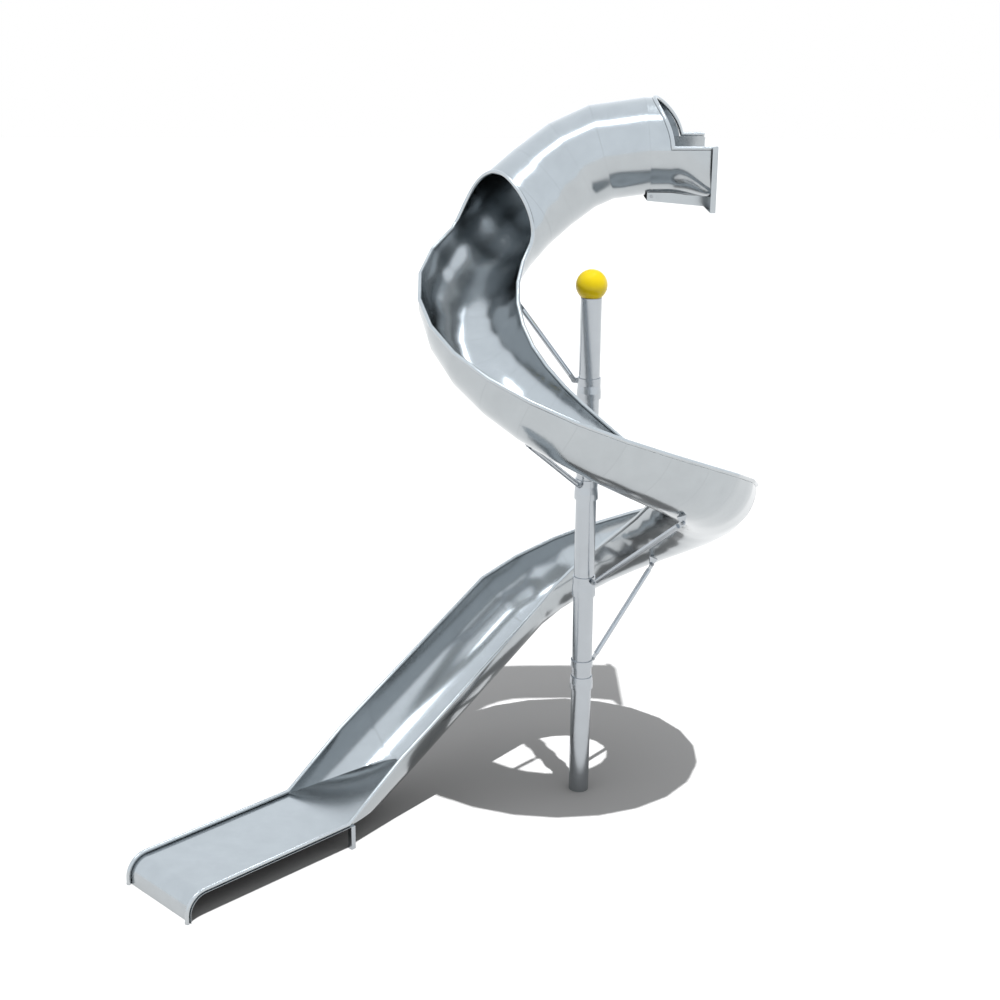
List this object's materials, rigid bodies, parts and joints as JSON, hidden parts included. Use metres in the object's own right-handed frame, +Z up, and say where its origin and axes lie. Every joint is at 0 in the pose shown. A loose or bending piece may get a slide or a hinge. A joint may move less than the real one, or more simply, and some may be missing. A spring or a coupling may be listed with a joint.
{
  "type": "stainless steel slide",
  "caption": "Banked spiral slide of round steel trough that turns round a post, with a closed tube at the start and a flat run-out.",
  "frame": {"origin": "middle of the post's foot on the ground", "axes": "+Z up along the post, the start flange faces +X and the ride leaves it towards -X"},
  "size_m": [4.9599, 3.6402, 5.7805],
  "materials": {
    "slide_steel": "fine ground stainless sheet",
    "rim_steel": "ground stainless tube",
    "post_steel": "ground stainless tube",
    "zinc": "plain bolt steel",
    "yellow_plastic": "glossy yellow"
  },
  "bodies": {
    "root": {"start_flange": "slide_steel", "start_trough": "slide_steel", "start_apron": "slide_steel", "apron_bolts": "zinc", "entry_hood": "slide_steel", "entry_rim": "rim_steel", "tube_upper": "slide_steel", "tube_lower": "slide_steel", "mouth_rim": "rim_steel", "trough_1": "slide_steel", "trough_2": "slide_steel", "trough_3": "slide_steel", "trough_4": "slide_steel", "trough_5": "slide_steel", "trough_6": "slide_steel", "trough_straight": "slide_steel", "run_out_transition": "slide_steel", "run_out_bed": "slide_steel", "outer_rim_1": "rim_steel", "outer_rim_2": "rim_steel", "outer_rim_3": "rim_steel", "outer_rim_4": "rim_steel", "outer_rim_5": "rim_steel", "outer_rim_6": "rim_steel", "outer_rim_straight": "rim_steel", "outer_rim_run_out": "rim_steel", "inner_rim_1": "rim_steel", "inner_rim_2": "rim_steel", "inner_rim_3": "rim_steel", "inner_rim_4": "rim_steel", "inner_rim_5": "rim_steel", "inner_rim_6": "rim_steel", "inner_rim_straight": "rim_steel", "inner_rim_run_out": "rim_steel", "legs": "post_steel", "post_1": "post_steel", "post_2": "post_steel", "post_3": "post_steel", "post_4": "post_steel", "post_5": "post_steel", "collar_1": "post_steel", "collar_2": "post_steel", "collar_3": "post_steel", "collar_4": "post_steel", "post_plug": "zinc", "ball": "yellow_plastic", "clamp_1": "post_steel", "clamp_2": "post_steel", "clamp_3": "post_steel", "clamp_4": "post_steel", "brace_1": "post_steel", "brace_2": "post_steel", "brace_3": "post_steel", "brace_4": "post_steel", "bracket_1": "post_steel", "bracket_2": "post_steel", "bracket_3": "post_steel", "bracket_4": "post_steel", "brace_bolts": "zinc", "brace_nuts": "zinc"}
  },
  "joints": []
}
